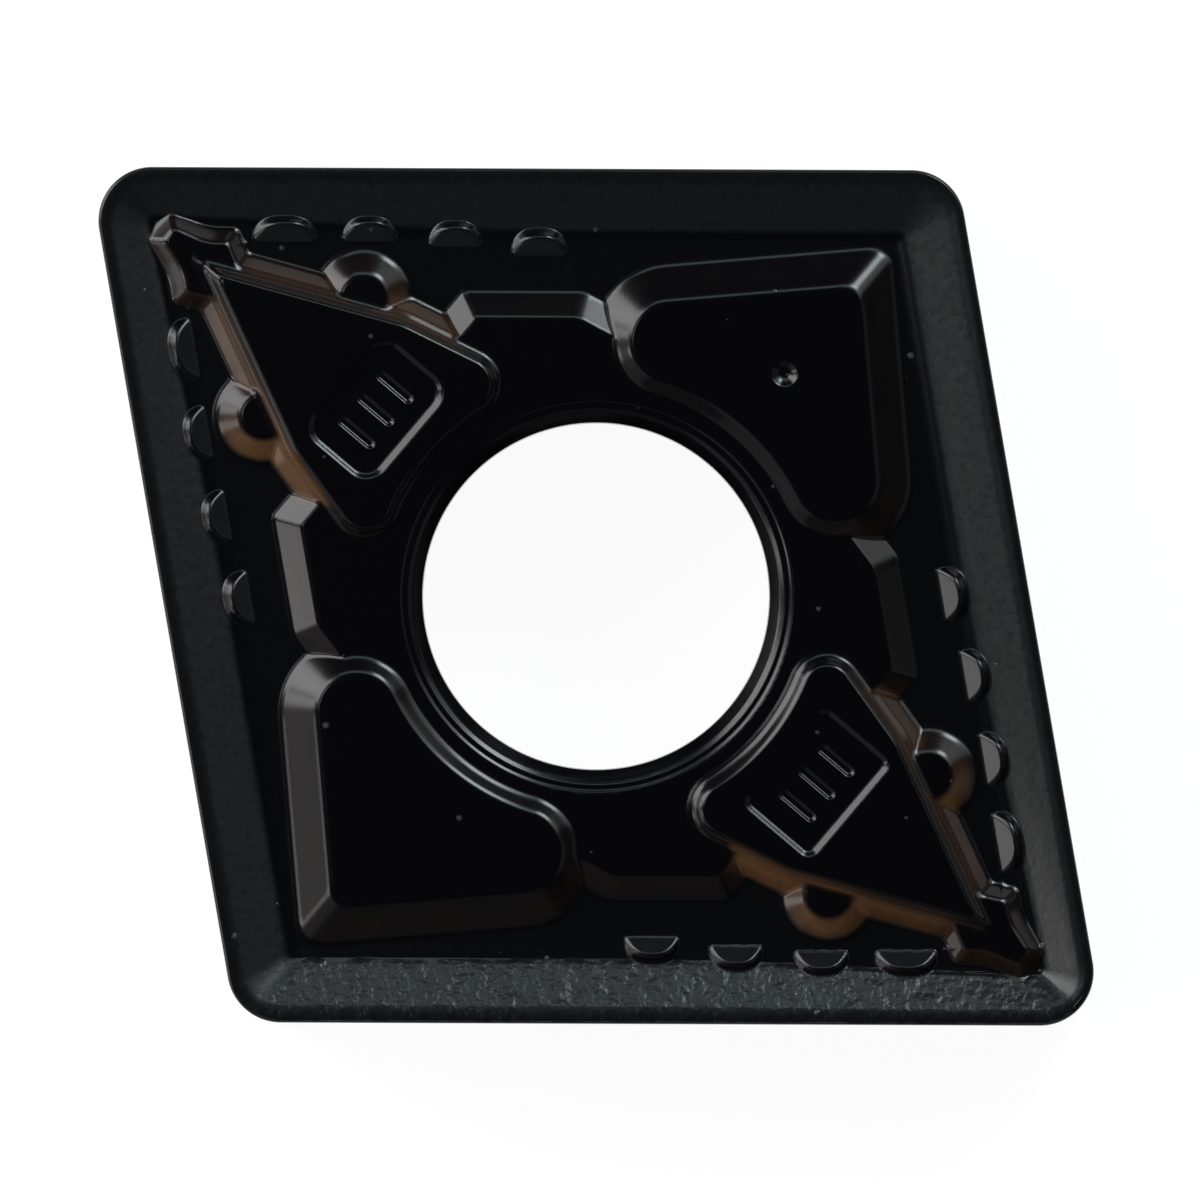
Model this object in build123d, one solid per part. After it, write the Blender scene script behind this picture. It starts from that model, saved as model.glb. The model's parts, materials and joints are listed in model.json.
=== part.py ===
from build123d import *
from math import acos, cos, degrees, radians, sin, tan
import os

# An indexable cutting insert: one pressed and sintered carbide body, coated all over.
# It is a rounded rhombus with a moulded chip breaker on both faces.
# Lengths are millimetres and angles are degrees. Z is up and the insert lies on its lower seat.

# The blank
inscribed_circle = 12.70  # the circle that touches all four flanks
nose_angle = 80.0  # between the two flanks of a cutting nose
nose_radius = 0.80
thickness = 4.76  # from seat plane to seat plane
cutting_edge_round = 0.05

# The screw hole and its rim
hole_diameter = 5.16
rim_chamfer = 0.16  # bevel at the hole's mouth
rim_step_width = 0.14
rim_step_depth = 0.04

# Levels, each measured down from the seat plane of its face
cutting_edge_drop = 0.07
web_drop = 0.135
groove_drop = 0.32

# The rim round the face: a flat land, then a rake that falls to the groove
land_width = 0.18
groove_inset_at_nose = 0.72
groove_inset_at_blunt_corner = 0.94
groove_corner_radius = 0.10

# The web, a low plateau round the hole
web_inset = 2.21  # from the flank to the web's top edge
web_setback_from_nose = 5.84
web_setback_from_blunt_corner = 5.26
web_wall_slope = 25.5

# The seat pads keep clear of the hole by this much, on a ring round it
pad_ring_width = 0.76

# The pads at the blunt corners
blunt_pad_setback = 2.22  # from the sharp corner of the blank to the pad's sharp corner
blunt_pad_half_angle = 45.0
blunt_pad_corner_radius = 0.27
blunt_pad_root_corner_radius = 0.41
blunt_pad_end_angle = 66.2  # round the hole, from the nose diagonal to the middle of the round end
blunt_pad_wall_slope = 32.0

# The pads at the cutting noses
nose_pad_setback = 2.48
nose_pad_half_angle = 25.0
nose_pad_tip_radius = 0.06
nose_pad_root_tip_radius = 0.20
nose_pad_bend_clearance = 1.46  # from the pad ring to the bend in the side
nose_pad_tail_angle = 14.0
nose_pad_end_radius = 0.36
nose_pad_wall_slope = 37.5

# A half-round lobe on each side of a nose pad, level with the web
lobe_setback = 4.38
lobe_offset = 1.15
lobe_radius = 0.36
lobe_wall_slope = 28.5

# The arrowhead at each nose, level with the web: setback from the nose and half width at each turn
arrow_tail = (2.90, 0.20)
arrow_barb = (2.32, 0.47)
arrow_waist = (2.04, 0.25)
arrow_front = (1.59, 0.14)
arrow_wall_slope = 39.0

# The row of bumps beside each nose: place along the flank, inset of the straight side, width
bumps = (
    (2.93, 1.11, 0.86),
    (4.19, 1.10, 0.74),
    (5.46, 1.17, 0.72),
    (6.71, 1.30, 0.74),
)
bump_facet_slope = 30.0
bump_wall_slope = 60.0

# A small index dimple on one upper blunt pad
dimple_diameter = 0.38
dimple_depth = 0.06
dimple_distance = 4.33  # from the insert's centre

# What is sunk below a surface so that two solids join through it
root = 0.06

half_nose = nose_angle / 2
half_thickness = thickness / 2
hole_radius = hole_diameter / 2
pad_ring_radius = hole_radius + pad_ring_width

seat_level = half_thickness
edge_level = seat_level - cutting_edge_drop
web_level = seat_level - web_drop
groove_level = seat_level - groove_drop
root_level = groove_level - root


def corner_reach(inset):
    """Distance from the centre to the sharp nose and to the sharp blunt corner, sides moved in."""
    apothem = inscribed_circle / 2 - inset
    return apothem / sin(radians(half_nose)), apothem / cos(radians(half_nose))


nose_reach, blunt_reach = corner_reach(0)


def rhombus(nose, blunt, radius):
    """Rhombus through (nose, 0) and (0, blunt), with all four corners rounded."""
    sharp = make_face(Polyline((nose, 0), (0, blunt), (-nose, 0), (0, -blunt), close=True))
    return fillet(sharp.vertices(), radius) if radius > 0 else sharp


def at_level(outline, level):
    return Pos(0, 0, level) * outline


def spread(level, top_level, slope):
    """How far a wall of this slope has moved out when it comes down from top_level."""
    return (top_level - level) / tan(radians(slope))


def raised(foot, top, top_level):
    """Solid with sloping walls, from its outline at the root to its outline at top_level."""
    return loft([at_level(foot, root_level), at_level(top, top_level)], ruled=True)


def unit(angle):
    return Vector(cos(radians(angle)), sin(radians(angle)))


def round_end(side_distance, side_angle, ring, end_angle):
    """Start, middle and end of the arc that closes a pad between its straight side and the ring.

    The arc's centre stands at end_angle round the hole. Its radius follows from touching both
    the side, given by its distance and the angle of its normal, and the ring.
    """
    lean = cos(radians(end_angle - side_angle))
    radius = (side_distance - ring * lean) / (1 + lean)
    centre = unit(end_angle) * (ring + radius)
    turned = (end_angle - side_angle) % 360 - 180
    return [centre + unit(side_angle + turned * part) * radius for part in (0, 0.5, 1)]


def mirrored_u(point):
    return Vector(-point.X, point.Y)


def mirrored_v(point):
    return Vector(point.X, -point.Y)


def blunt_pad_outline(growth, corner_radius):
    """Pad at the upper blunt corner, with a hollow side that follows the hole."""
    apex = Vector(0, blunt_reach - blunt_pad_setback + growth / sin(radians(blunt_pad_half_angle)))
    side_distance = apex.Y * sin(radians(blunt_pad_half_angle))
    ring = pad_ring_radius - growth
    side_angle = 90 - blunt_pad_half_angle
    side, middle, inner = round_end(side_distance, side_angle, ring, blunt_pad_end_angle)
    edges = [
        Line(apex, side),
        ThreePointArc(side, middle, inner),
        ThreePointArc(inner, (0, ring), mirrored_u(inner)),
        ThreePointArc(mirrored_u(inner), mirrored_u(middle), mirrored_u(side)),
        Line(mirrored_u(side), apex),
    ]
    outline = make_face(edges)
    return fillet(outline.vertices().sort_by(Axis.Y)[-1], corner_radius)


def blunt_pad():
    foot_growth = spread(root_level, seat_level, blunt_pad_wall_slope)
    foot = blunt_pad_outline(foot_growth, blunt_pad_root_corner_radius)
    top = blunt_pad_outline(0, blunt_pad_corner_radius)
    return raised(foot, top, seat_level)


def nose_pad_outline(growth, tip_radius):
    """Arrow-shaped pad at the right-hand nose: straight sides, a bend, and two round tails."""
    side_slope = tan(radians(nose_pad_half_angle))
    tail_normal = 90 - nose_pad_tail_angle
    tail_u = cos(radians(tail_normal))
    tail_v = sin(radians(tail_normal))
    bend_u = pad_ring_radius + nose_pad_bend_clearance
    bend_height = (nose_reach - nose_pad_setback - bend_u) * side_slope
    tail_distance = bend_u * tail_u + bend_height * tail_v
    # The round end touches the tail and the ring, and keeps its centre as the outline grows
    lean = (tail_distance - nose_pad_end_radius) / (pad_ring_radius + nose_pad_end_radius)
    end_angle = tail_normal - degrees(acos(lean))
    # The grown bend lies where the two grown sides cross
    tip = Vector(nose_reach - nose_pad_setback + growth / sin(radians(nose_pad_half_angle)), 0)
    tail_distance += growth
    grown_u = (tail_distance - tip.X * side_slope * tail_v) / (tail_u - side_slope * tail_v)
    bend = Vector(grown_u, (tip.X - grown_u) * side_slope)
    ring = pad_ring_radius - growth
    side, middle, inner = round_end(tail_distance, tail_normal, ring, end_angle)
    edges = [
        Line(tip, bend),
        Line(bend, side),
        ThreePointArc(side, middle, inner),
        ThreePointArc(inner, (ring, 0), mirrored_v(inner)),
        ThreePointArc(mirrored_v(inner), mirrored_v(middle), mirrored_v(side)),
        Line(mirrored_v(side), mirrored_v(bend)),
        Line(mirrored_v(bend), tip),
    ]
    outline = make_face(edges)
    return fillet(outline.vertices().sort_by(Axis.X)[-1], tip_radius)


def nose_pad():
    foot_growth = spread(root_level, seat_level, nose_pad_wall_slope)
    foot = nose_pad_outline(foot_growth, nose_pad_root_tip_radius)
    top = nose_pad_outline(0, nose_pad_tip_radius)
    return raised(foot, top, seat_level)


def web():
    """Low plateau round the hole: four walls along the flanks, cut off square at its eight ends."""
    growth = spread(root_level, web_level, web_wall_slope)
    nose_end = nose_reach - web_setback_from_nose
    blunt_end = blunt_reach - web_setback_from_blunt_corner
    foot_ends = Rectangle(2 * (nose_end + growth), 2 * (blunt_end + growth))
    top_ends = Rectangle(2 * nose_end, 2 * blunt_end)
    foot_flanks = rhombus(*corner_reach(web_inset - growth), 0)
    top_flanks = rhombus(*corner_reach(web_inset), 0)
    return raised(foot_flanks, top_flanks, web_level) & raised(foot_ends, top_ends, web_level)


def lobe(side):
    """Cone frustum whose inner half is buried in the nose pad."""
    foot = lobe_radius + spread(root_level, web_level, lobe_wall_slope)
    height = web_level - root_level
    cone = Cone(foot, lobe_radius, height, align=(Align.CENTER, Align.CENTER, Align.MIN))
    return Pos(nose_reach - lobe_setback, side * lobe_offset, root_level) * cone


def arrowhead():
    """Barbed plateau in front of the nose pad."""
    turns = (arrow_tail, arrow_barb, arrow_waist, arrow_front)
    upper = [(nose_reach - setback, width) for setback, width in turns]
    lower = [(u, -v) for u, v in reversed(upper)]
    top = make_face(Polyline(*upper, *lower, close=True))
    foot = offset(top, spread(root_level, web_level, arrow_wall_slope), kind=Kind.INTERSECTION)
    return raised(foot, top, web_level)


def bump(station, inset, width):
    """Half-round wedge: a steep wall to the cutting edge and a facet that falls to the groove."""
    base = width / 2 + spread(root_level, groove_level, bump_wall_slope)
    height = base * tan(radians(bump_facet_slope))
    crest = base - height / tan(radians(bump_wall_slope))
    cone = Cone(base, crest, height, align=(Align.CENTER, Align.CENTER, Align.MIN))
    # Everything under the facet, which starts at the straight side on the groove floor
    cutter = Pos(0, 0, root) * Rot(bump_facet_slope, 0, 0) * Box(
        2 * width, 3 * width, 2 * width, align=(Align.CENTER, Align.CENTER, Align.MAX)
    )
    outer_half = Box(2 * width, width, width, align=(Align.CENTER, Align.MIN, Align.MIN))
    wedge = cone & cutter & outer_half
    along = Vector(-cos(radians(half_nose)), sin(radians(half_nose)))
    inward = Vector(-sin(radians(half_nose)), -cos(radians(half_nose)))
    place = Vector(nose_reach, 0) + along * station + inward * inset
    return Pos(place.X, place.Y, root_level) * Rot(0, 0, -half_nose) * wedge


def hole():
    """Screw hole through the upper half, with a bevelled mouth inside a shallow step."""
    mouth = hole_radius + rim_chamfer
    step = mouth + rim_step_width
    mouth_level = web_level - rim_step_depth
    low = mouth_level - rim_chamfer
    wall = [(0, 0), (hole_radius, 0), (hole_radius, low), (mouth, mouth_level), (step, web_level)]
    profile = Polyline(*wall, (step, seat_level), (0, seat_level), close=True)
    return revolve(Plane.XZ * make_face(profile), Axis.Z)


def upper_half():
    """One face of the insert, from the middle plane up."""
    blank_outline = rhombus(nose_reach, blunt_reach, nose_radius)
    blank = extrude(blank_outline, edge_level)
    blank = fillet(blank.edges().group_by(Axis.Z)[-1], cutting_edge_round)

    land_nose, land_blunt = corner_reach(land_width)
    floor_nose = corner_reach(groove_inset_at_nose)[0]
    floor_blunt = corner_reach(groove_inset_at_blunt_corner)[1]
    land_edge = rhombus(land_nose, land_blunt, nose_radius - land_width)
    groove_floor = rhombus(floor_nose, floor_blunt, groove_corner_radius)
    pocket = loft([at_level(groove_floor, groove_level), at_level(land_edge, edge_level)], ruled=True)

    islands = [web()]
    for turn in (0, 180):
        turned = Rot(0, 0, turn)
        islands += [turned * blunt_pad(), turned * nose_pad(), turned * arrowhead()]
        for side in (1, -1):
            islands.append(turned * lobe(side))
        for station, inset, width in bumps:
            islands.append(turned * bump(station, inset, width))
            islands.append(turned * mirror(bump(station, inset, width), about=Plane.XZ))
    return (blank - pocket) + islands - hole()


half = upper_half()
both = half + Rot(180, 0, 0) * half
dimple_radius = (dimple_diameter**2 / 4 + dimple_depth**2) / (2 * dimple_depth)
dimple = Pos(0, dimple_distance, seat_level - dimple_depth + dimple_radius) * Sphere(dimple_radius)

# Turned so that two flanks run along X, with a nose at the upper left and the lower right
insert_body = Pos(0, 0, half_thickness) * Rot(0, 0, -half_nose) * (both - dimple)


os.makedirs("parts", exist_ok=True)
export_step(insert_body, "parts/insert_body.step")
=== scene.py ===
import bmesh
import bpy
import numpy as np
from math import acos, atan2, cos, pi, radians, sin, tan
from mathutils import Matrix, Vector
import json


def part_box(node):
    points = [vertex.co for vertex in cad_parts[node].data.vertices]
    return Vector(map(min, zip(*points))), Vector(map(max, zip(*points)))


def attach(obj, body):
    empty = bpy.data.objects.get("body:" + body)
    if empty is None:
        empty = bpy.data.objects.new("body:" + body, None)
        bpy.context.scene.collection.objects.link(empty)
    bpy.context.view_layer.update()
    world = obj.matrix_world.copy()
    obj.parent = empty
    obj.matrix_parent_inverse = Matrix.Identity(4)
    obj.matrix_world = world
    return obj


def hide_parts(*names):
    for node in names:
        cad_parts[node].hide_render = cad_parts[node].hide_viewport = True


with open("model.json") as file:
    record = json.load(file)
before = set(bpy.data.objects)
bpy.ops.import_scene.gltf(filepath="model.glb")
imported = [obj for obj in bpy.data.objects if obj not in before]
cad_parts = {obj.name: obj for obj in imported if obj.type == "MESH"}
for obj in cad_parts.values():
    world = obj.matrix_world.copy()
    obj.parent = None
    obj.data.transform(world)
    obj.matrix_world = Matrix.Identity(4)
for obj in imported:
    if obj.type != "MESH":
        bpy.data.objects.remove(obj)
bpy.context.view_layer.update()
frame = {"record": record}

# The insert is shaped in millimetres about the middle of its hole: u runs along the long diagonal to
# the cutting nose, v along the short one, and heights are measured from the seat plane.
mm = 0.001
low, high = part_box("insert_body")
fixingHole = [m for m in frame["record"]["mounts"] if m["name"] == "fixing_hole"][0]

blank = {
    "innerCircle": (high[1] - low[1]) / mm,
    "thickness": (high[2] - low[2]) / mm,
    "holeRadius": fixingHole["dims"]["r_mm"],
    "noseAngle": 80.0,
    "noseRadius": 0.80,
    "edgeRound": 0.05,
    "edgeSteps": 4,
    "halvings": 30,
}
halfNose = radians(blank["noseAngle"] / 2)
halfThick = blank["thickness"] / 2
apothem = blank["innerCircle"] / 2
noseReach = apothem / sin(halfNose)
bluntReach = apothem / cos(halfNose)
nearby = 0.0005  # a place this near to a line counts as on it


def softMax(a, b, blend):
    overlap = np.maximum(blend - np.abs(a - b), 0)
    return np.maximum(a, b) + overlap * overlap / (4 * blend)


def softMin(a, b, blend):
    return -softMax(-a, -b, blend)


def past(u, v, angle, distance):
    # how far a point lies past the straight line whose normal points at this angle
    return u * cos(angle) + v * sin(angle) - distance


def pastLine(u, v, start, end):
    angle = atan2(end[0] - start[0], start[1] - end[1])
    return past(u, v, angle, start[0] * cos(angle) + start[1] * sin(angle))


def pastBox(u, v, halfLength, halfWidth, corner):
    du = np.abs(u) - halfLength + corner
    dv = np.abs(v) - halfWidth + corner
    return np.hypot(np.maximum(du, 0), np.maximum(dv, 0)) + np.minimum(np.maximum(du, dv), 0) - corner


def pastRhombus(u, v, nose, blunt, radius):
    # u and v folded into one quarter; the corners are round
    lean = np.arctan2(blunt, nose)
    across, down = np.sin(lean), np.cos(lean)
    along = v * across - u * down
    noseCentre = nose - radius / across
    bluntCentre = blunt - radius / down
    gap = u * across + v * down - nose * across
    gap = np.where(along < -noseCentre * down, np.hypot(u - noseCentre, v) - radius, gap)
    return np.where(along > bluntCentre * across, np.hypot(u, v - bluntCentre) - radius, gap)


def cornerReach(inset):
    return (apothem - inset) / sin(halfNose), (apothem - inset) / cos(halfNose)


def fade(value, start, width):
    # 0 up to the start, then rising to 1 over this width
    return np.clip((value - start) / width, 0, 1)


def smoothStep(value):
    share = np.clip(value, 0, 1)
    return share * share * (3 - 2 * share)


def wall(gap, level, slope, blend=0.04):
    # a plateau and the wall round it, joined by a soft ridge
    return softMin(level, level - gap * tan(radians(slope)), blend)


# The land along the cutting edge and the rake that falls from it to the groove floor
rake = {
    "landInset": 0.18,
    "landDrop": 0.07,
    "grooveDrop": 0.32,
    "footInset": 0.97,
    "noseTaper": (0.74, 1.24),
    "taperBlend": 0.02,
    "floorCorner": 0.10,
    "leastCorner": 0.01,
    "ridgeBlend": 0.03,
    "footBlend": 0.06,
    "runOn": 0.3,  # share by which the slope is followed past its ends, for the blends
    "searchFrom": -0.2,
    "halvings": 18,
}


def rakeHeight(u, v):
    # the foot keeps one inset along most of the flank and comes nearer to the edge at the nose
    even = fallingRake(u, v, rake["footInset"], rake["footInset"])
    return softMin(even, fallingRake(u, v, *rake["noseTaper"]), rake["taperBlend"])


def fallingRake(u, v, insetAtNose, insetAtBlunt):
    outer = np.array([*cornerReach(rake["landInset"]), blank["noseRadius"] - rake["landInset"]])
    inner = [cornerReach(insetAtNose)[0], cornerReach(insetAtBlunt)[1], rake["floorCorner"]]
    change = np.array(inner) - outer
    fall = rake["grooveDrop"] - rake["landDrop"]
    height = np.full(u.shape, -rake["grooveDrop"] - rake["runOn"] * fall)
    near = pastRhombus(u, v, inner[0], inner[1], inner[2]) > rake["searchFrom"]
    uNear, vNear = u[near], v[near]
    # each contour between the land and the floor is a rounded rhombus: find the one through the point
    lowest = np.full(uNear.shape, -rake["runOn"])
    highest = np.full(uNear.shape, 1 + rake["runOn"])
    for _ in range(rake["halvings"]):
        share = (lowest + highest) / 2
        nose, blunt, radius = (outer[i] + change[i] * share for i in range(3))
        outside = pastRhombus(uNear, vNear, nose, blunt, np.maximum(radius, rake["leastCorner"])) > 0
        highest = np.where(outside, share, highest)
        lowest = np.where(outside, lowest, share)
    height[near] = -rake["landDrop"] - fall * (lowest + highest) / 2
    return height


# The seat pads, whose hollow sides follow a ring round the hole
padRing = blank["holeRadius"] + 0.76
padFoot = 0.045  # the soft foot of the pads, lobes and arrowheads
bluntPad = {"setback": 2.22, "halfAngle": 45.0, "cornerBlend": 0.36, "endAngle": 66.2, "slope": 32.0}
nosePad = {
    "setback": 2.48,
    "halfAngle": 25.0,
    "tipBlend": 0.15,
    "bendBlend": 0.02,
    "bendClearance": 1.46,
    "tailAngle": 14.0,
    "endRadius": 0.36,
    "slope": 43.0,
    "skirt": 0.19,
    "skirtSlope": 38.0,
}


def roundEnd(side, u, v, sideAngle, endRadius, endAngle):
    # the side and the ring meet in an arc whose centre stands at endAngle round the hole
    reach = padRing + endRadius
    du, dv = u - reach * cos(endAngle), v - reach * sin(endAngle)
    turn = 1 if endAngle > sideAngle else -1
    pastSide = (du * sin(sideAngle) - dv * cos(sideAngle)) * turn > 0
    pastRing = (du * sin(endAngle) - dv * cos(endAngle)) * turn > 0
    ring = padRing - np.hypot(u, v)
    return np.where(pastSide & pastRing, np.hypot(du, dv) - endRadius, np.maximum(side, ring))


def pastBluntPad(u, v):
    sideAngle = radians(90 - bluntPad["halfAngle"])
    endAngle = radians(bluntPad["endAngle"])
    distance = (bluntReach - bluntPad["setback"]) * sin(sideAngle)
    lean = cos(endAngle - sideAngle)
    endRadius = (distance - padRing * lean) / (1 + lean)
    rightSide, leftSide = past(u, v, sideAngle, distance), past(-u, v, sideAngle, distance)
    side = softMax(rightSide, leftSide, bluntPad["cornerBlend"])
    return roundEnd(side, u, v, sideAngle, endRadius, endAngle)


def pastNosePad(u, v):
    sideAngle = radians(90 - nosePad["halfAngle"])
    tailAngle = radians(90 - nosePad["tailAngle"])
    tip = noseReach - nosePad["setback"]
    bendU = padRing + nosePad["bendClearance"]
    bendV = (tip - bendU) * tan(radians(nosePad["halfAngle"]))
    tailDistance = bendU * cos(tailAngle) + bendV * sin(tailAngle)
    radius = nosePad["endRadius"]
    endAngle = tailAngle - acos((tailDistance - radius) / (padRing + radius))
    tipDistance = tip * cos(sideAngle)
    backSide, frontSide = past(u, v, sideAngle, tipDistance), past(u, -v, sideAngle, tipDistance)
    side = softMax(backSide, frontSide, nosePad["tipBlend"])
    side = softMax(side, past(u, v, tailAngle, tailDistance), nosePad["bendBlend"])
    return roundEnd(side, u, v, tailAngle, radius, endAngle)


# The web, a low plateau round the hole, with a short facet at each of its ends
web = {
    "drop": 0.135,
    "inset": 2.21,
    "noseSetback": 5.84,
    "facetAngle": 77.8,
    "facetDistance": 3.53,
    "cornerBlend": 0.05,
    "slope": 25.5,
    "ridgeBlend": 0.02,
    "footBlend": 0.025,
}


def pastWeb(u, v):
    side = past(u, v, radians(90) - halfNose, apothem - web["inset"])
    noseEnd = u - (noseReach - web["noseSetback"])
    bluntEnd = past(u, v, radians(web["facetAngle"]), web["facetDistance"])
    return softMax(softMax(side, noseEnd, web["cornerBlend"]), bluntEnd, web["cornerBlend"])


# A half-round lobe on each side of a nose pad, and the barbed arrowhead in front of it
lobe = {"setback": 4.38, "offset": 1.15, "radius": 0.36, "slope": 28.5}
arrow = {
    "tail": (7.20, 0.28),
    "ear": (7.57, 0.47),
    "waist": (7.80, 0.27),
    "front": (8.20, 0.155),
    "tip": 8.31,
    "back": 7.60,
    "blend": 0.08,
    "slope": 39.0,
}


def pastLobe(u, v):
    return np.hypot(u - (noseReach - lobe["setback"]), v - lobe["offset"]) - lobe["radius"]


def pastArrow(u, v):
    behindEar = pastLine(u, v, arrow["tail"], arrow["ear"])
    beforeEar = pastLine(u, v, arrow["ear"], arrow["waist"])
    barb = softMax(behindEar, beforeEar, arrow["blend"])
    finger = softMax(pastLine(u, v, arrow["waist"], arrow["front"]), u - arrow["tip"], arrow["blend"])
    finger = np.maximum(finger, arrow["back"] - u)
    return softMin(barb, finger, arrow["blend"])


# The row of half-round bumps beside each nose: place along the flank, inset of the straight side, width
bumpRow = ((2.93, 1.11, 0.86), (4.19, 1.10, 0.74), (5.46, 1.17, 0.72), (6.71, 1.30, 0.74))
bump = {
    "facetSlope": 28.0,
    "wallSlope": 40.0,
    "spare": 0.04,
    "reach": 0.46,
    "squareness": 2.6,
    "blend": 0.06,
    "footBlend": 0.02,
}


def bumpSides(u, v, station, inset, width):
    along = v * sin(halfNose) - (u - noseReach) * cos(halfNose) - station
    outward = (u - noseReach) * sin(halfNose) + v * cos(halfNose) + inset
    facet = outward * tan(radians(bump["facetSlope"]))
    power = bump["squareness"]
    sideways = np.abs(along) / (width / 2 + bump["spare"])
    share = (sideways**power + (np.maximum(outward, 0) / bump["reach"]) ** power) ** (1 / power)
    return facet, (1 - share) * bump["reach"] * tan(radians(bump["wallSlope"]))


def bumpHeight(u, v, *place):
    return softMin(*bumpSides(u, v, *place), bump["blend"]) - rake["grooveDrop"]


# The stepped and bevelled mouth of the hole
rim = {
    "chamfer": 0.16,
    "stepDepth": 0.045,
    "stepWidth": 0.075,
    "steps": (0.0, 0.12),
    "bevelBlend": 0.02,
    "outerBlend": 0.008,
    "round": 0.02,
    "roundStart": 45.0,
    "roundSteps": 2,
}
mouthRadius = blank["holeRadius"] + rim["chamfer"]
rimStart = blank["holeRadius"] + rim["round"] * (1 - cos(radians(rim["roundStart"])))
rimEnd = mouthRadius + rim["steps"][-1] + rim["stepWidth"]


def rimHeight(radius):
    # two small rounded steps, then a bevel
    risen = sum(smoothStep((radius - mouthRadius - start) / rim["stepWidth"]) for start in rim["steps"])
    sunk = rim["stepDepth"] * (1 - risen / len(rim["steps"]))
    step = -web["drop"] - sunk + np.maximum(radius - rimEnd, 0)
    bevel = -web["drop"] - rim["stepDepth"] - (mouthRadius - radius)
    return softMin(step, bevel, rim["bevelBlend"])


# A sunken panel with three plain bars on each nose pad
panel = {
    "centre": 4.29,
    "halfLength": 0.60,
    "halfWidth": 0.88,
    "cornerAtLeft": 0.27,
    "cornerAtRight": 0.10,
    "depth": 0.045,
    "slope": 30.0,
    "blend": 0.02,
    "barPitch": 0.44,
    "barHalfLength": 0.33,
    "barHalfWidth": 0.075,
    "barDepth": 0.03,
    "barSlope": 40.0,
    "barBlend": 0.015,
}


def panelHeight(u, v, side):
    # v is folded, so the bar at one pitch from the middle stands for two
    corner = panel["cornerAtRight"] if side > 0 else panel["cornerAtLeft"]
    gap = pastBox(u - panel["centre"], v, panel["halfLength"], panel["halfWidth"], corner)
    height = softMax(-panel["depth"], gap * tan(radians(panel["slope"])) - panel["depth"], panel["blend"])
    floor = -panel["depth"] - panel["barDepth"]
    for place in (0, panel["barPitch"]):
        size = panel["barHalfLength"], panel["barHalfWidth"], panel["barHalfWidth"]
        barGap = pastBox(u - panel["centre"], v - place, *size)
        barSide = barGap * tan(radians(panel["barSlope"])) - panel["depth"]
        height = softMin(height, softMax(floor, barSide, panel["barBlend"]), panel["barBlend"])
    return height


# One small dimple in one blunt pad of the upper face
dimple = {"distance": 4.33, "radius": 0.19, "depth": 0.06, "rimBlend": 0.25}


def faceHeight(uFull, vFull, withDimple):
    # the groove first, then each raised form over it, and the mouth of the hole cut in last
    u, v = np.abs(uFull), np.abs(vFull)
    radius = np.hypot(u, v)
    low = -web["drop"]
    land = softMin(-rake["landDrop"], rakeHeight(u, v), rake["ridgeBlend"])
    height = softMax(-rake["grooveDrop"], land, rake["footBlend"])
    webWall = wall(pastWeb(u, v), low, web["slope"], web["ridgeBlend"])
    height = softMax(height, webWall, web["footBlend"])
    height = softMax(height, wall(pastLobe(u, v), low, lobe["slope"]), padFoot)
    height = softMax(height, wall(pastArrow(u, v), low, arrow["slope"]), padFoot)
    for station, inset, width in bumpRow:
        height = softMax(height, bumpHeight(u, v, station, inset, width), bump["footBlend"])
    noseGap = pastNosePad(u, v)
    height = softMax(height, wall(noseGap - nosePad["skirt"], low, nosePad["skirtSlope"]), padFoot)
    nose = wall(noseGap, 0.0, nosePad["slope"])
    for side in (1, -1):
        marked = softMin(nose, panelHeight(u, v, side), panel["blend"])
        nose = np.where(uFull * side > 0, marked, nose)
    height = softMax(height, nose, padFoot)
    height = softMax(height, wall(pastBluntPad(u, v), 0.0, bluntPad["slope"]), padFoot)
    height = np.where(radius < padRing, softMin(height, rimHeight(radius), rim["outerBlend"]), height)
    if withDimple:
        dip = 1 - (np.hypot(uFull, vFull - dimple["distance"]) / dimple["radius"]) ** 2
        height = height - dimple["depth"] * softMax(dip, 0.0, dimple["rimBlend"])
    return height


def outlineGap(u, v):
    return pastRhombus(np.abs(u), np.abs(v), noseReach, bluntReach, blank["noseRadius"])


def outlineNormal(u, v, step=1e-4):
    du = outlineGap(u + step, v) - outlineGap(u - step, v)
    dv = outlineGap(u, v + step) - outlineGap(u, v - step)
    size = np.hypot(du, dv)
    return du / size, dv / size


def readPlaces(mesh):
    places = np.empty(len(mesh.vertices) * 3, np.float32)
    mesh.vertices.foreach_get("co", places)
    return places.reshape(-1, 3).astype(float)


def writePlaces(mesh, places):
    mesh.vertices.foreach_set("co", places.astype(np.float32).ravel())
    mesh.update()


# Each face starts as a flat grid, is rolled round the hole, pressed into shape, and thinned where flat
upperSheet = {"spokes": 2000, "spokePoints": 340, "triangles": 124000}
lowerSheet = {"spokes": 1200, "spokePoints": 200, "triangles": 50000}


def rolledGrid(sheet):
    # x is the angle round the hole, from -1 to 1 for half a turn each way, and y runs out along a spoke
    work = bmesh.new()
    bmesh.ops.create_grid(work, x_segments=sheet["spokes"], y_segments=sheet["spokePoints"], size=1)
    seam = [vert for vert in work.verts if abs(vert.co.x) > 1 - 0.5 / sheet["spokes"]]
    for vert in seam:
        vert.co.x = 1
    bmesh.ops.remove_doubles(work, verts=seam, dist=0.1 / sheet["spokePoints"])
    mesh = bpy.data.meshes.new("insertSheet")
    work.to_mesh(mesh)
    work.free()
    return mesh


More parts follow.
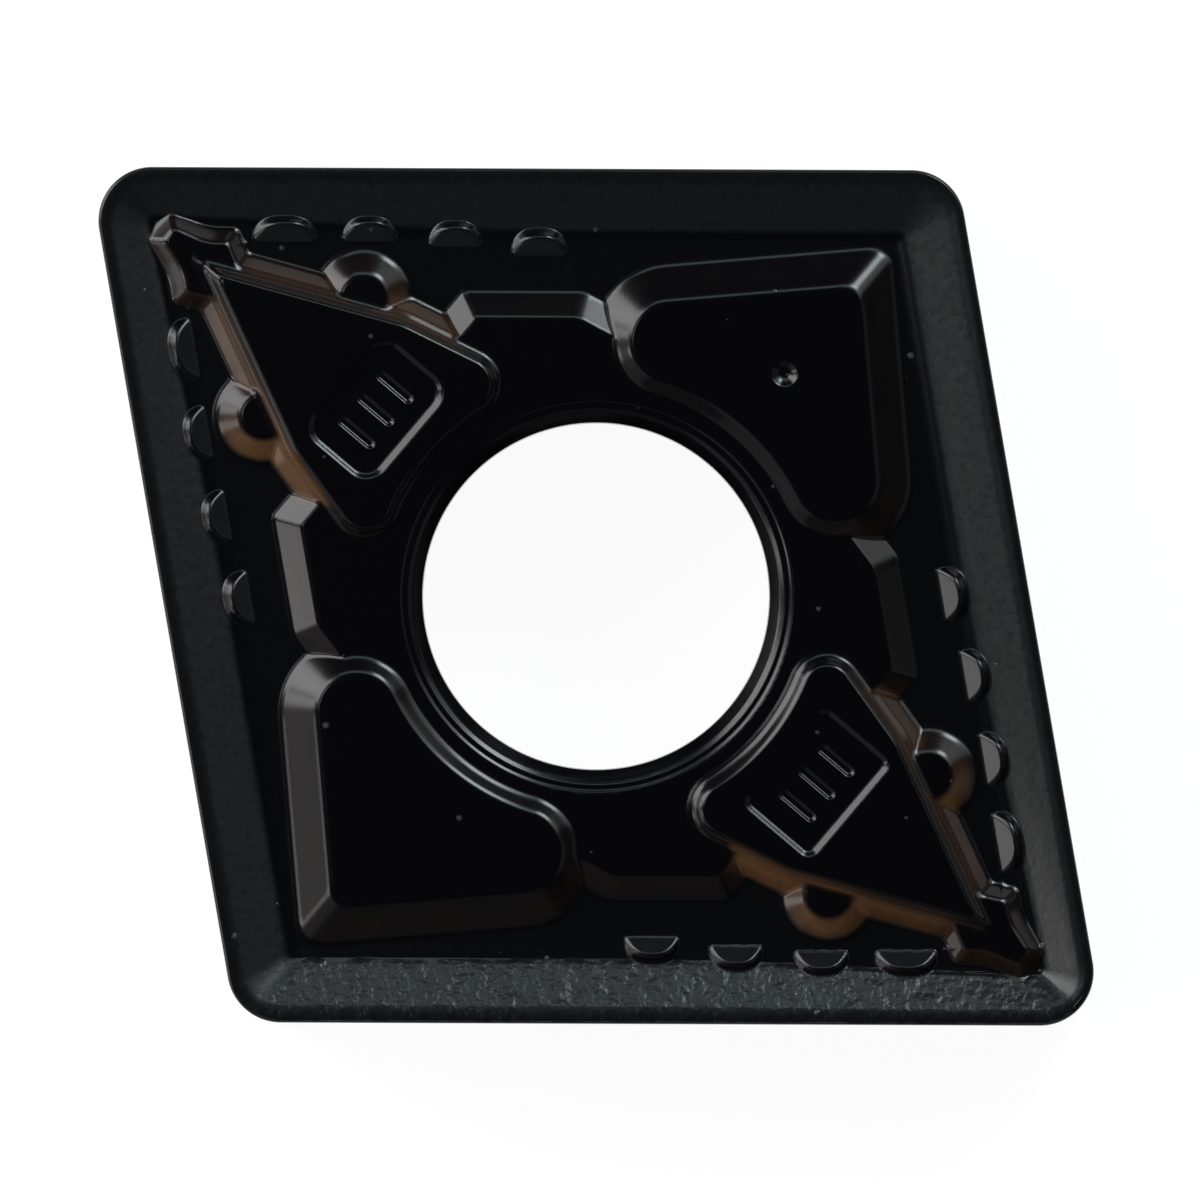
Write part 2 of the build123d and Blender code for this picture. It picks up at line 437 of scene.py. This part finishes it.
def pressedSheet(sheet, withDimple):
    mesh = rolledGrid(sheet)
    places = readPlaces(mesh)
    angle = places[:, 0] * pi
    share = (places[:, 1] + 1) / 2
    # where each spoke meets the outline, less the rounding of the edge, found by halving a range
    turns = np.linspace(-pi, pi, 4 * sheet["spokes"] + 1)
    near, far = np.full(turns.shape, padRing), np.full(turns.shape, noseReach)
    for _ in range(blank["halvings"]):
        reach = (near + far) / 2
        outside = outlineGap(reach * np.cos(turns), reach * np.sin(turns)) > -blank["edgeRound"]
        far = np.where(outside, reach, far)
        near = np.where(outside, near, reach)
    radius = rimStart + share * (np.interp(angle, turns, near) - rimStart)
    places[:, 0] = radius * np.cos(angle)
    places[:, 1] = radius * np.sin(angle)
    places[:, 2] = faceHeight(places[:, 0], places[:, 1], withDimple)
    writePlaces(mesh, places)
    return mesh


def thinned(mesh, triangles):
    holder = bpy.data.objects.new("insertSheet", mesh)
    bpy.context.scene.collection.objects.link(holder)
    thin = holder.modifiers.new("thin", "DECIMATE")
    thin.ratio = triangles / (2 * len(mesh.polygons))
    evaluated = holder.evaluated_get(bpy.context.evaluated_depsgraph_get())
    result = bpy.data.meshes.new_from_object(evaluated)
    bpy.data.objects.remove(holder)
    bpy.data.meshes.remove(mesh)
    return result


def pulled(work, edges, move):
    grown = bmesh.ops.extrude_edge_only(work, edges=edges)["geom"]
    for vert in grown:
        if isinstance(vert, bmesh.types.BMVert):
            move(vert)
    return [e for e in grown if isinstance(e, bmesh.types.BMEdge) and e.is_boundary]


def openEdges(work):
    # the open edges of a shell: those along the flank, and those in the bore
    edges = [edge for edge in work.edges if edge.is_boundary]
    outer = [edge for edge in edges if edge.verts[0].co.xy.length > padRing]
    inner = [edge for edge in edges if edge.verts[0].co.xy.length <= padRing]
    return outer, inner


def faceShell(sheet, isUpper):
    mesh = thinned(pressedSheet(sheet, isUpper), sheet["triangles"])
    work = bmesh.new()
    work.from_mesh(mesh)
    outer, inner = openEdges(work)
    for vert in work.verts:
        u, v = vert.co.x, vert.co.y
        if vert.is_boundary and vert.co.xy.length > padRing:
            normal = outlineNormal(u, v)
            slip = outlineGap(u, v) + blank["edgeRound"]
            vert.co.x, vert.co.y = u - normal[0] * slip, v - normal[1] * slip
        elif vert.is_boundary:
            vert.co.x, vert.co.y = Vector((u, v)).normalized() * rimStart
    # the honed cutting edge
    edgeRound = blank["edgeRound"]
    for step in range(1, blank["edgeSteps"] + 1):
        angle = radians(90) * step / blank["edgeSteps"]

        def honed(vert):
            normal = outlineNormal(vert.co.x, vert.co.y)
            slip = outlineGap(vert.co.x, vert.co.y) + edgeRound * (1 - sin(angle))
            vert.co.x -= normal[0] * slip
            vert.co.y -= normal[1] * slip
            vert.co.z = -rake["landDrop"] - edgeRound * (1 - cos(angle))

        outer = pulled(work, outer, honed)
    # the bevel rolls over into the bore
    roundStart = radians(rim["roundStart"])
    bevelFoot = rimHeight(rimStart) - rim["round"] * sin(roundStart)
    for step in range(1, rim["roundSteps"] + 1):
        angle = roundStart * (1 - step / rim["roundSteps"])

        def rolled(vert):
            radius = blank["holeRadius"] + rim["round"] * (1 - cos(angle))
            vert.co.x, vert.co.y = vert.co.xy.normalized() * radius
            vert.co.z = bevelFoot + rim["round"] * sin(angle)

        inner = pulled(work, inner, rolled)
    bmesh.ops.translate(work, verts=work.verts[:], vec=(0, 0, halfThick))
    if not isUpper:
        bmesh.ops.scale(work, verts=work.verts[:], vec=(1, 1, -1))
    work.to_mesh(mesh)
    work.free()
    return mesh


def insertMesh():
    work = bmesh.new()
    for sheet, isUpper in ((upperSheet, True), (lowerSheet, False)):
        shell = faceShell(sheet, isUpper)
        work.from_mesh(shell)
        print("insert: face pressed,", len(shell.polygons), "faces")
        bpy.data.meshes.remove(shell)
    for edges in openEdges(work):
        bmesh.ops.bridge_loops(work, edges=edges)
    bmesh.ops.recalc_face_normals(work, faces=work.faces[:])
    mesh = bpy.data.meshes.new("insert")
    work.to_mesh(mesh)
    work.free()
    return mesh


# Normals are read from the form itself, a little inside each corner of each face, so creases stay crisp
shading = {"slopeStep": 0.004, "inwardShare": 0.12, "inwardLimit": 0.03}


def faceSlopes(u, v):
    slopes = []
    step = shading["slopeStep"]
    for du, dv in ((step, 0), (0, step)):
        ahead = faceHeight(u + du, v + dv, True)
        behind = faceHeight(u - du, v - dv, True)
        slopes.append((ahead - behind) / (2 * step))
    return slopes


def upwardNormals(u, v):
    slopes = faceSlopes(u, v)
    return np.stack([-slopes[0], -slopes[1], np.ones(len(u))], axis=1)


def cornerPlaces(mesh, u, v):
    # the vertex at each face corner, and a place a little way from it towards the middle of the face
    corners = np.empty(len(mesh.loops), np.int32)
    mesh.loops.foreach_get("vertex_index", corners)
    counts = np.empty(len(mesh.polygons), np.int32)
    mesh.polygons.foreach_get("loop_total", counts)
    starts = np.concatenate([[0], np.cumsum(counts)[:-1]])
    inward = []
    for values in (u[corners], v[corners]):
        middle = np.repeat(np.add.reduceat(values, starts) / counts, counts)
        inward.append(shading["inwardShare"] * (middle - values))
    limit = np.minimum(1, shading["inwardLimit"] / np.maximum(np.hypot(*inward), 1e-9))
    return corners, u[corners] + inward[0] * limit, v[corners] + inward[1] * limit


def cornerNormals(mesh, u, v, side, onFace):
    radius = np.hypot(u, v)
    edgeTurn = np.clip(1 + outlineGap(u, v) / blank["edgeRound"], 0, 1)
    nu, nv = outlineNormal(u, v)
    atEdge = np.stack([nu * edgeTurn, nv * edgeTurn, np.sqrt(1 - edgeTurn**2)], axis=1)
    lift = np.arccos(np.clip(1 - (radius - blank["holeRadius"]) / rim["round"], -1, 1))
    atBore = np.stack([-u / radius * np.cos(lift), -v / radius * np.cos(lift), np.sin(lift)], axis=1)
    corners, inU, inV = cornerPlaces(mesh, u, v)
    normals = np.where((radius < padRing)[:, None], atBore, atEdge)[corners]
    pressed = onFace[corners]
    normals[pressed] = upwardNormals(inU[pressed], inV[pressed])
    normals[:, 2] *= side[corners]
    return normals / np.linalg.norm(normals, axis=1)[:, None]


# Where the finish is matt. Each fade is a start and the width over which it becomes full, in millimetres
finish = {
    "rakeFade": (0.0, 0.03),
    "bareFade": (0.006, 0.03),
    "landRough": 0.45,
    "bumpFade": (-0.01, 0.02),
    "facetFade": (0.0, 0.04),
    "facetRough": 0.8,
    "floorRough": 0.12,
    "steepFade": (0.15, 0.35),  # these two are slopes
    "coarseFade": (-1.3, 0.2),
    "mitreFade": (0.0, 0.25),
    "flankRough": 0.6,
    "flankWall": 0.3,
}


def roughShares(u, v, height):
    # the matt rake and facets; also which places belong to a bump, and which are bare ground
    floor = -rake["grooveDrop"]
    base = softMin(-rake["landDrop"], rakeHeight(u, v), rake["ridgeBlend"])
    ground = softMax(floor, base, rake["footBlend"])
    bare = 1 - fade(height - ground, *finish["bareFade"])
    belowLand = fade(-rake["landDrop"] - base, *finish["rakeFade"])
    landShare = finish["landRough"] + (1 - finish["landRough"]) * belowLand
    rough = fade(base - floor, *finish["rakeFade"]) * landShare * bare
    bumps, facets = np.zeros(len(u)), np.zeros(len(u))
    for place in bumpRow:
        facet, around = bumpSides(u, v, *place)
        own = fade(softMin(facet, around, bump["blend"]) + floor - ground, *finish["bumpFade"])
        bumps = np.maximum(bumps, own)
        facets = np.maximum(facets, own * fade(around - facet, *finish["facetFade"]))
    onFloor = 1 - fade(height - floor, *finish["rakeFade"])
    rough = np.maximum(rough, finish["facetRough"] * facets)
    rough = np.maximum(rough, finish["floorRough"] * onFloor)
    return rough, bumps, bare


def coarseShare(u, v):
    # the rake along the front flank, up to the mitres at its ends
    pastFront = past(u, v, halfNose - pi / 2, apothem)
    pastSides = np.abs(past(u, v, pi / 2 - halfNose, 0)) - apothem
    return fade(pastFront, *finish["coarseFade"]) * fade(pastFront - pastSides, *finish["mitreFade"])


# The bronze colour lies low on the walls of the nose pads and lobes; on the walls facing the front it is
# made stronger, and that part is painted warm light
tint = {
    "sunkFade": (0.01, 0.08),
    "ringFade": (0.1, 0.3),
    "padFade": (-0.05, 0.05),
    "webFade": (-0.1, 0.1),
    "noseFade": (3.5, 0.6),
    "tipFade": (7.0, 0.3),
    "tipLoss": 0.7,
    "tipTurnLoss": 0.5,
    "middleFade": (4.8, 1.4),
    "middleGain": 0.6,
    "lobeFade": (0.0, 0.1),
    "backShare": 0.28,
    "lobeBackShare": 0.06,
    "turnFade": (-0.8, 1.6),  # from facing the back to facing the front, where the stronger bronze is painted warm light
    "turnPower": 1.4,
    "aboveFade": (0.0, 0.05),
    "aboveNoseFade": (4.8, 1.2),
    "aboveLoss": 0.6,
    "footHeight": 0.45,  # this and the crest are shares of the wall's height
    "crestFade": (0.6, 0.5),
    "crestLoss": 0.35,
    "leastShare": 0.06,
    "noseShare": 0.9,
    "flankShare": 0.02,
}


def bronzeAndWarmLightShare(u, v, height, slopes):
    floor = -rake["grooveDrop"]
    padGap, lobeGap = pastNosePad(u, v), pastLobe(u, v)
    sunk = fade(-height, *tint["sunkFade"]) * fade(np.hypot(u, v) - padRing, *tint["ringFade"])
    sunk = sunk * fade(padGap, *tint["padFade"])
    noseSide = np.minimum(padGap - nosePad["skirt"], lobeGap)
    zone = fade(pastWeb(u, v) - noseSide, *tint["webFade"]) * fade(u, *tint["noseFade"])
    atTip = fade(u, *tint["tipFade"])
    atMiddle = 1 - fade(u, *tint["middleFade"])
    zone = zone * (1 - tint["tipLoss"] * atTip) * (1 + tint["middleGain"] * atMiddle)
    steepness = np.maximum(np.hypot(*slopes), 0.01)
    facing = (slopes[1] * cos(halfNose) - slopes[0] * sin(halfNose)) / steepness
    onLobe = fade(padGap - nosePad["skirt"] - lobeGap, *tint["lobeFade"])
    least = tint["backShare"] + (tint["lobeBackShare"] - tint["backShare"]) * onLobe
    # walls that face the front get more of the bronze colour: painted warm light
    share = least + (1 - least) * fade(facing, *tint["turnFade"]) ** tint["turnPower"]
    share = share * (1 - tint["tipTurnLoss"] * atTip)
    above = fade(height + web["drop"], *tint["aboveFade"]) * fade(u, *tint["aboveNoseFade"])
    share = share * (1 - tint["aboveLoss"] * above)
    risen = (height - floor) / (-web["drop"] - floor)
    crestStart, crestWidth = tint["crestFade"]
    atCrest = smoothStep((risen - crestStart) / crestWidth)
    share = share * smoothStep(risen / tint["footHeight"]) * (1 - tint["crestLoss"] * atCrest)
    return sunk * share * (tint["leastShare"] + tint["noseShare"] * zone)


def finishMasks(u, v, height, onFace, onFlank):
    uFold, vFold = np.abs(u), np.abs(v)
    slopes = faceSlopes(u, v)
    rough, bumps, bare = roughShares(uFold, vFold, height)
    steep = fade(np.hypot(*slopes), *finish["steepFade"]) * (1 - bumps) * (1 - bare)
    bronzeAndWarmLight = steep * bronzeAndWarmLightShare(uFold, vFold, height, slopes)
    return {
        "rakeMask": np.where(onFace, rough, finish["flankRough"]),
        "wallMask": np.where(onFace, np.maximum(steep, bumps), finish["flankWall"]),
        "bronzeAndWarmLightMask": np.where(onFace, bronzeAndWarmLight, tint["flankShare"]),
        "coarseMask": np.where(onFace, coarseShare(u, v), 0.0),
        "groundMask": np.where(onFlank, 1.0, 0.0),
        "faceMask": np.where(onFace, 1.0, 0.0),
    }


def finishedInsert():
    mesh = insertMesh()
    places = readPlaces(mesh)
    u, v, z = places.T.copy()
    onFace = (outlineGap(u, v) < nearby - blank["edgeRound"]) & (np.hypot(u, v) > rimStart - nearby)
    onFlank = ~onFace & (np.abs(z) < halfThick - rake["landDrop"] - blank["edgeRound"] + nearby)
    side = np.where(z > 0, 1.0, -1.0)
    height = np.where(z > 0, faceHeight(u, v, True), faceHeight(u, v, False))
    normals = cornerNormals(mesh, u, v, side, onFace)
    masks = finishMasks(u, v, height, onFace, onFlank)
    places[:, 2] = np.where(onFace, side * (halfThick + height), z)

    turn = np.array(Matrix.Rotation(-halfNose, 3, "Z"))
    writePlaces(mesh, (places @ turn.T + (0, 0, halfThick)) * mm)
    for polygon in mesh.polygons:
        polygon.use_smooth = True
    mesh.normals_split_custom_set((normals @ turn.T).tolist())
    for name, values in masks.items():
        layer = mesh.attributes.new(name, "FLOAT", "POINT")
        layer.data.foreach_set("value", values.astype(np.float32))
    insert = bpy.data.objects.new("insert_coated", mesh)
    bpy.context.scene.collection.objects.link(insert)
    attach(insert, "root")
    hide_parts("insert_body")
    print("insert: finished,", sum(len(p.vertices) - 2 for p in mesh.polygons), "triangles")
    return insert


# The coating: near black and glossy on the flats, matt and grained on the rake, bronze low on steep
# walls, with painted warm light where those walls face the front
coating = {
    "flat": (0.0014, 0.0014, 0.0021),
    "rake": (0.0080, 0.0096, 0.0102),
    "bronzeAndWarmLight": (0.130, 0.060, 0.024),
    "ground": (0.045, 0.045, 0.048),
    "ior": 1.52,
    "flatRoughness": 0.14,
    "wallRoughness": 0.20,
    "rakeRoughness": (0.26, 0.32),
    "wallMatt": 0.15,
    "reliefDepth": 0.000014,
}
# Each pattern is a scale, a detail and a roughness; its spread is the range of the noise that is used
pattern = {
    "grain": (8200.0, 2.5, 0.55),
    "grainSpread": (0.3, 0.7),
    "grainTone": (0.8, 1.2),
    "smoothRake": 0.22,
    "smoothFlat": 0.03,
    "lumps": (3600.0, 2.0, 0.5),
    "lumpHeight": 2.2,
    "cloud": (900.0, 2.0, 0.5),
    "cloudSpread": (0.35, 0.65),
    "cloudTone": (0.75, 1.15),
    "lines": (15000.0, 3.0, 0.6),
    "lineSpread": (0.3, 0.7),
    "lineStretch": (0.02, 0.02, 1.0),
    "lineHeight": 0.16,
}
dust = {
    "colour": (0.07, 0.07, 0.07),
    "cells": 1500.0,
    "rarity": 0.86,
    "size": 0.09,
    "edge": 0.06,
    "height": 0.5,
}


class Maker:
    # adds nodes to one node tree and joins them up
    def __init__(self, tree):
        self.tree = tree
        tree.nodes.clear()

    def add(self, kind, inputs=None, **settings):
        node = self.tree.nodes.new(kind)
        for name, value in settings.items():
            setattr(node, name, value)
        for name, value in (inputs or {}).items():
            if isinstance(value, bpy.types.NodeSocket):
                self.tree.links.new(value, node.inputs[name])
            else:
                node.inputs[name].default_value = value
        return node

    def math(self, operation, a, b=0.0, clamp=False):
        node = self.add("ShaderNodeMath", {0: a, 1: b}, operation=operation, use_clamp=clamp)
        return node.outputs[0]

    def ramp(self, value, fromLow, fromHigh, toLow=0.0, toHigh=1.0):
        sockets = {"Value": value, "From Min": fromLow, "From Max": fromHigh}
        sockets.update({"To Min": toLow, "To Max": toHigh})
        return self.add("ShaderNodeMapRange", sockets).outputs["Result"]

    def mix(self, factor, a, b):
        node = self.add("ShaderNodeMix", data_type="RGBA")
        for socket, value in zip((node.inputs[0], node.inputs[6], node.inputs[7]), (factor, a, b)):
            if isinstance(value, bpy.types.NodeSocket):
                self.tree.links.new(value, socket)
            else:
                socket.default_value = value if socket is node.inputs[0] else (*value, 1)
        return node.outputs[2]

    def blendValue(self, factor, a, b):
        node = self.add("ShaderNodeMix", {0: factor, 2: a, 3: b}, data_type="FLOAT")
        return node.outputs[0]

    def noise(self, vector, scale, detail, roughness):
        sockets = {"Vector": vector, "Scale": scale, "Detail": detail, "Roughness": roughness}
        return self.add("ShaderNodeTexNoise", sockets).outputs["Fac"]

    def mask(self, name):
        return self.add("ShaderNodeAttribute", attribute_name=name).outputs["Fac"]


def dustSpecks(make, place):
    # a few pale specks, each a dot inside a large cell
    sockets = {"Vector": place, "Scale": dust["cells"]}
    cells = make.add("ShaderNodeTexVoronoi", sockets, voronoi_dimensions="2D")
    chance = make.add("ShaderNodeSeparateColor", {"Color": cells.outputs["Color"]}).outputs["Red"]
    size = make.ramp(chance, dust["rarity"], 1.0, 0.0, dust["size"])
    speck = make.ramp(make.math("SUBTRACT", size, cells.outputs["Distance"]), 0.0, dust["edge"])
    return make.math("MULTIPLY", speck, make.mask("faceMask"))


def groundLines(make, place):
    # fine grinding lines that run round the flanks and the bore
    along = make.add("ShaderNodeMapping", {"Vector": place, "Scale": pattern["lineStretch"]})
    lines = make.noise(along.outputs["Vector"], *pattern["lines"])
    return make.math("MULTIPLY", make.ramp(lines, *pattern["lineSpread"]), make.mask("groundMask"))


def coatedCarbide():
    material = bpy.data.materials.new("coated_carbide")
    material.use_nodes = True
    make = Maker(material.node_tree)
    place = make.add("ShaderNodeTexCoord").outputs["Object"]
    rakeMask, wallMask, bronzeAndWarmLightMask = make.mask("rakeMask"), make.mask("wallMask"), make.mask("bronzeAndWarmLightMask")
    grain = make.noise(place, *pattern["grain"])
    cloud = make.noise(place, *pattern["cloud"])
    speck = dustSpecks(make, place)
    lines = groundLines(make, place)

    rakeTone = make.ramp(grain, *pattern["grainSpread"], *pattern["grainTone"])
    bronzeAndWarmLightTone = make.ramp(cloud, *pattern["cloudSpread"], *pattern["cloudTone"])
    colour = make.mix(make.math("MULTIPLY", rakeMask, rakeTone), coating["flat"], coating["rake"])
    # the bronze colour low on the walls, with painted warm light on the walls facing the front
    colour = make.mix(make.math("MULTIPLY", bronzeAndWarmLightMask, bronzeAndWarmLightTone), colour, coating["bronzeAndWarmLight"])
    colour = make.mix(lines, colour, coating["ground"])
    colour = make.mix(speck, colour, dust["colour"])

    matt = make.math("MULTIPLY", rakeMask, make.ramp(wallMask, 0.0, 1.0, 1.0, coating["wallMatt"]))
    roughness = make.blendValue(wallMask, coating["flatRoughness"], coating["wallRoughness"])
    rakeRoughness = make.ramp(grain, *pattern["grainSpread"], *coating["rakeRoughness"])
    roughness = make.blendValue(matt, roughness, rakeRoughness)

    # the front rake is coarser than the others
    coarse = make.mask("coarseMask")
    fine = make.math("MULTIPLY", grain, make.ramp(coarse, 0.0, 1.0, pattern["smoothRake"], 1.0))
    lumps = make.noise(place, *pattern["lumps"])
    lumps = make.math("MULTIPLY", lumps, make.ramp(coarse, 0.0, 1.0, 0.0, pattern["lumpHeight"]))
    reliefShare = make.ramp(matt, 0.0, 1.0, pattern["smoothFlat"], 1.0)
    relief = make.math("MULTIPLY", make.math("ADD", fine, lumps), reliefShare)
    relief = make.math("ADD", relief, make.math("MULTIPLY", speck, dust["height"]))
    relief = make.math("ADD", relief, make.math("MULTIPLY", lines, pattern["lineHeight"]))
    sockets = {"Height": relief, "Distance": coating["reliefDepth"], "Strength": 1.0}
    normal = make.add("ShaderNodeBump", sockets).outputs["Normal"]
    sockets = {"Base Color": colour, "Roughness": roughness, "IOR": coating["ior"], "Normal": normal}
    shader = make.add("ShaderNodeBsdfPrincipled", sockets)
    make.add("ShaderNodeOutputMaterial", {"Surface": shader.outputs["BSDF"]})
    return material


insert = finishedInsert()
insert.data.materials.append(coatedCarbide())
print("material: done")


# The studio: a pale floor, a white backdrop all round, a dark ceiling and soft boxes
studio = {
    "floorHalf": 0.6,
    "floorDrop": 0.00001,
    "floorColour": (0.80, 0.80, 0.80),
    "floorGlow": 0.94,  # with the light on its shade the floor is white, and a little less in shadow
    "floorShade": (0.20, 0.20, 0.20),
    "ceiling": (0.022, 0.022, 0.026),
    "backdropTop": 0.05,
    "boxDistance": 0.20,
}
white = (1.0, 1.0, 1.0)
# each soft box: turn from +X round to +Y, height above the horizon, width, height, radiance, colour
softBoxes = {
    "boxLeft": (148, 39, 0.080, 0.170, 4.4, white),
    "boxLeftFoot": (164, 13, 0.110, 0.045, 3.4, white),
    "boxLeftSide": (169, 30, 0.036, 0.090, 3.6, white),
    "boxLeftFront": (193, 39, 0.036, 0.064, 3.3, (1.0, 0.97, 0.95)),
    "boxLeftLow": (196, 16, 0.110, 0.050, 1.7, (1.0, 0.97, 0.95)),
    "boxFrontLeft": (222, 38, 0.080, 0.120, 0.25, white),
    "boxTop": (157, 75, 0.030, 0.022, 2.2, white),
    "boxBack": (80, 56, 0.170, 0.045, 1.10, (0.80, 1.0, 1.0)),
    "boxBackLow": (72, 13, 0.100, 0.030, 0.80, white),
    "boxRight": (58, 46, 0.042, 0.060, 10.0, (0.88, 0.97, 1.0)),
    "boxRightFill": (40, 45, 0.060, 0.120, 1.0, white),
    "boxRightLow": (26, 13, 0.100, 0.030, 0.60, white),
    "boxEast": (350, 42, 0.120, 0.090, 0.14, white),
    "boxFront": (270, 35, 0.200, 0.120, 0.07, (1.0, 0.95, 0.90)),
}


def backdropRays(make):
    # the rays that see a white studio: the camera's, and those mirrored or let through by a surface
    rays = make.add("ShaderNodeLightPath").outputs
    mirrored = make.math("MAXIMUM", rays["Is Glossy Ray"], rays["Is Transmission Ray"])
    return rays["Is Camera Ray"], mirrored


def buildFloor():
    work = bmesh.new()
    bmesh.ops.create_grid(work, x_segments=1, y_segments=1, size=studio["floorHalf"])
    mesh = bpy.data.meshes.new("floor")
    work.to_mesh(mesh)
    work.free()
    floor = bpy.data.objects.new("floor", mesh)
    floor.location.z = -studio["floorDrop"]
    bpy.context.scene.collection.objects.link(floor)
    material = bpy.data.materials.new("floor_pale")
    material.use_nodes = True
    make = Maker(material.node_tree)
    camera, mirrored = backdropRays(make)
    seen = make.math("MAXIMUM", camera, mirrored)
    matt = make.add("ShaderNodeBsdfDiffuse", {"Color": (*studio["floorColour"], 1)})
    faint = make.add("ShaderNodeBsdfDiffuse", {"Color": (*studio["floorShade"], 1)})
    glow = make.add("ShaderNodeEmission", {"Color": (*white, 1), "Strength": studio["floorGlow"]})
    shown = make.add("ShaderNodeAddShader", {0: faint.outputs[0], 1: glow.outputs[0]})
    both = make.add("ShaderNodeMixShader", {0: seen, 1: matt.outputs[0], 2: shown.outputs[0]})
    make.add("ShaderNodeOutputMaterial", {"Surface": both.outputs[0]})
    mesh.materials.append(material)


def buildWorld():
    world = bpy.data.worlds.new("studio")
    world.use_nodes = True
    bpy.context.scene.world = world
    make = Maker(world.node_tree)
    camera, mirrored = backdropRays(make)
    direction = make.add("ShaderNodeTexCoord").outputs["Generated"]
    height = make.add("ShaderNodeSeparateXYZ", {"Vector": direction}).outputs["Z"]
    lowDown = make.ramp(height, studio["backdropTop"], 0.0)
    seen = make.math("MAXIMUM", camera, make.math("MULTIPLY", mirrored, lowDown), True)
    colour = make.mix(seen, studio["ceiling"], white)
    shine = make.add("ShaderNodeBackground", {"Color": colour, "Strength": 1.0})
    make.add("ShaderNodeOutputWorld", {"Surface": shine.outputs[0]})


def buildSoftBoxes():
    target = Vector((0, 0, blank["thickness"] * mm))
    for name, (turn, rise, width, tall, radiance, colour) in softBoxes.items():
        lamp = bpy.data.lights.new(name, "AREA")
        lamp.shape = "RECTANGLE"
        lamp.size, lamp.size_y = width, tall
        lamp.energy = radiance * pi * width * tall
        lamp.color = colour
        turn, rise = radians(turn), radians(rise)
        away = Vector((cos(turn) * cos(rise), sin(turn) * cos(rise), sin(rise)))
        box = bpy.data.objects.new(name, lamp)
        box.location = target + away * studio["boxDistance"]
        box.rotation_euler = away.to_track_quat("Z", "Y").to_euler()
        box.visible_camera = False
        bpy.context.scene.collection.objects.link(box)


# The camera looks straight down from far away
view = {
    "imageWidth": 17.817,
    "lens": 1500.0,
    "sensor": 36.0,
    "aside": (0.059, -0.055),
    "roll": 0.24,
    "clip": (0.01, 5),
}


def buildCamera():
    lens = bpy.data.cameras.new("camera")
    lens.lens, lens.sensor_width = view["lens"], view["sensor"]
    distance = view["imageWidth"] * view["lens"] / view["sensor"]
    camera = bpy.data.objects.new("camera", lens)
    camera.location = Vector((*view["aside"], distance + blank["thickness"])) * mm
    camera.rotation_euler = (0, 0, radians(view["roll"]))
    lens.clip_start, lens.clip_end = view["clip"]
    bpy.context.scene.collection.objects.link(camera)
    bpy.context.scene.camera = camera


buildFloor()
buildWorld()
buildSoftBoxes()
buildCamera()
bpy.context.scene.view_settings.view_transform = "Standard"
print("studio: done")

import json
